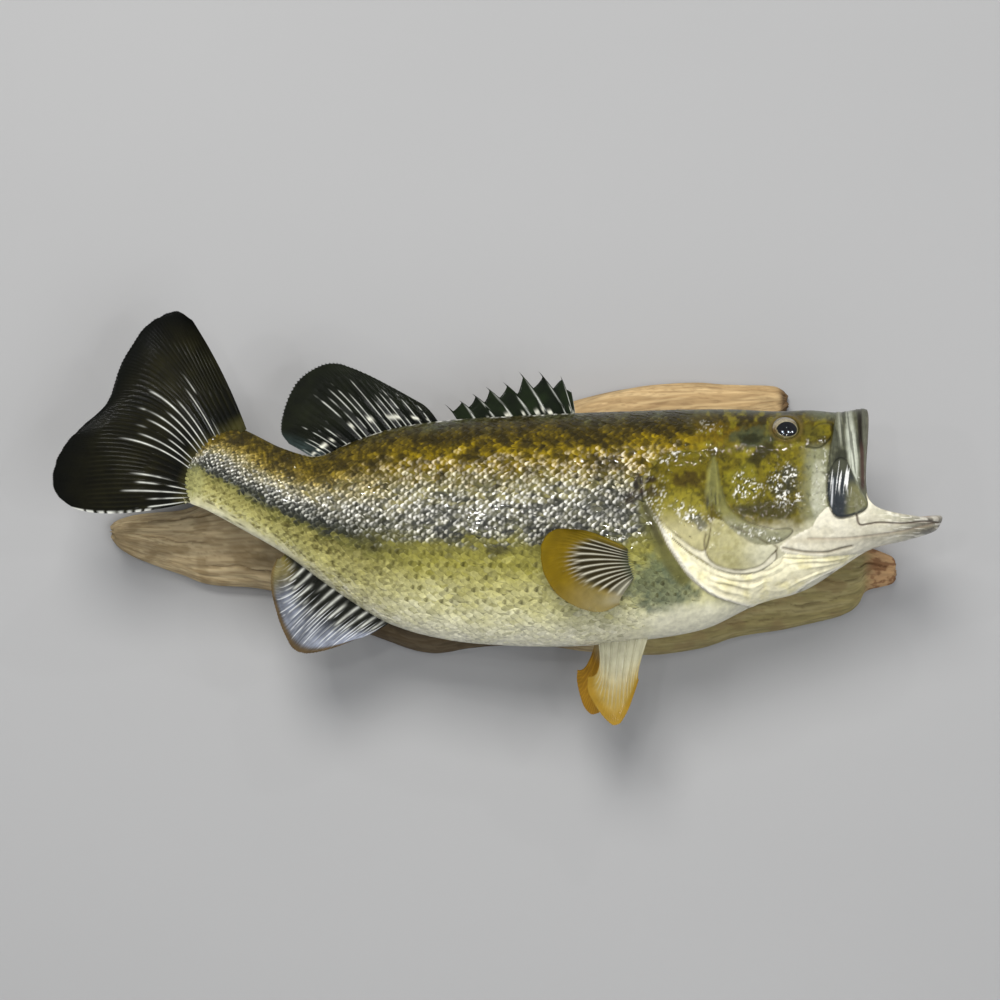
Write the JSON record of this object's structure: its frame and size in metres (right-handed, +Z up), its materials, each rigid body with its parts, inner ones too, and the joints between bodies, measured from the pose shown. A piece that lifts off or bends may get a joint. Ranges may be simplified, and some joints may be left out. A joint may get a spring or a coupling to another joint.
{
  "type": "mounted largemouth bass",
  "caption": "A life-size mounted largemouth bass, its mouth wide open and tail turned out, fixed along its side to a long piece of weathered driftwood with a flat back.",
  "frame": {"origin": "A point on the flat back face of the driftwood slab, behind the middle of the fish.", "axes": "+X towards the fish's head and mouth, along the object's length; +Y into the wall; +Z up, towards the fish's back."},
  "size_m": [0.5523, 0.1386, 0.2599],
  "materials": {
    "flank_skin": "wet gloss over scaled skin",
    "head_skin": "wet gloss",
    "jaw_skin": "wet gloss",
    "pale_skin": "wet gloss",
    "tongue": "wet gloss",
    "gill_cover": "wet gloss",
    "membrane": "satin to gloss",
    "maxilla": "wet gloss",
    "eye": "mirror-like gloss",
    "dark_fin": "wet gloss",
    "anal_fin": "wet gloss",
    "ochre_fin": "wet gloss",
    "pelvic_fin": "wet gloss",
    "driftwood_grey": "dry weathered",
    "driftwood_tan": "dry weathered"
  },
  "bodies": {
    "root": {"trunk": "flank_skin", "tail_stalk": "flank_skin", "head": "head_skin", "upper_jaw": "jaw_skin", "lower_jaw": "pale_skin", "tongue": "tongue", "gill_cover_near": "gill_cover", "gill_cover_far": "gill_cover", "throat_membrane_near": "membrane", "throat_membrane_far": "membrane", "maxilla_near": "maxilla", "maxilla_far": "maxilla", "eye_near": "eye", "eye_far": "eye", "caudal_fin": "dark_fin", "dorsal_fin_soft": "dark_fin", "dorsal_fin_spiny": "dark_fin", "anal_fin": "anal_fin", "pectoral_fin_near": "ochre_fin", "pectoral_fin_far": "ochre_fin", "pelvic_fin_near": "pelvic_fin", "pelvic_fin_far": "pelvic_fin", "driftwood_slab": "driftwood_grey", "driftwood_branch": "driftwood_tan"}
  },
  "joints": []
}
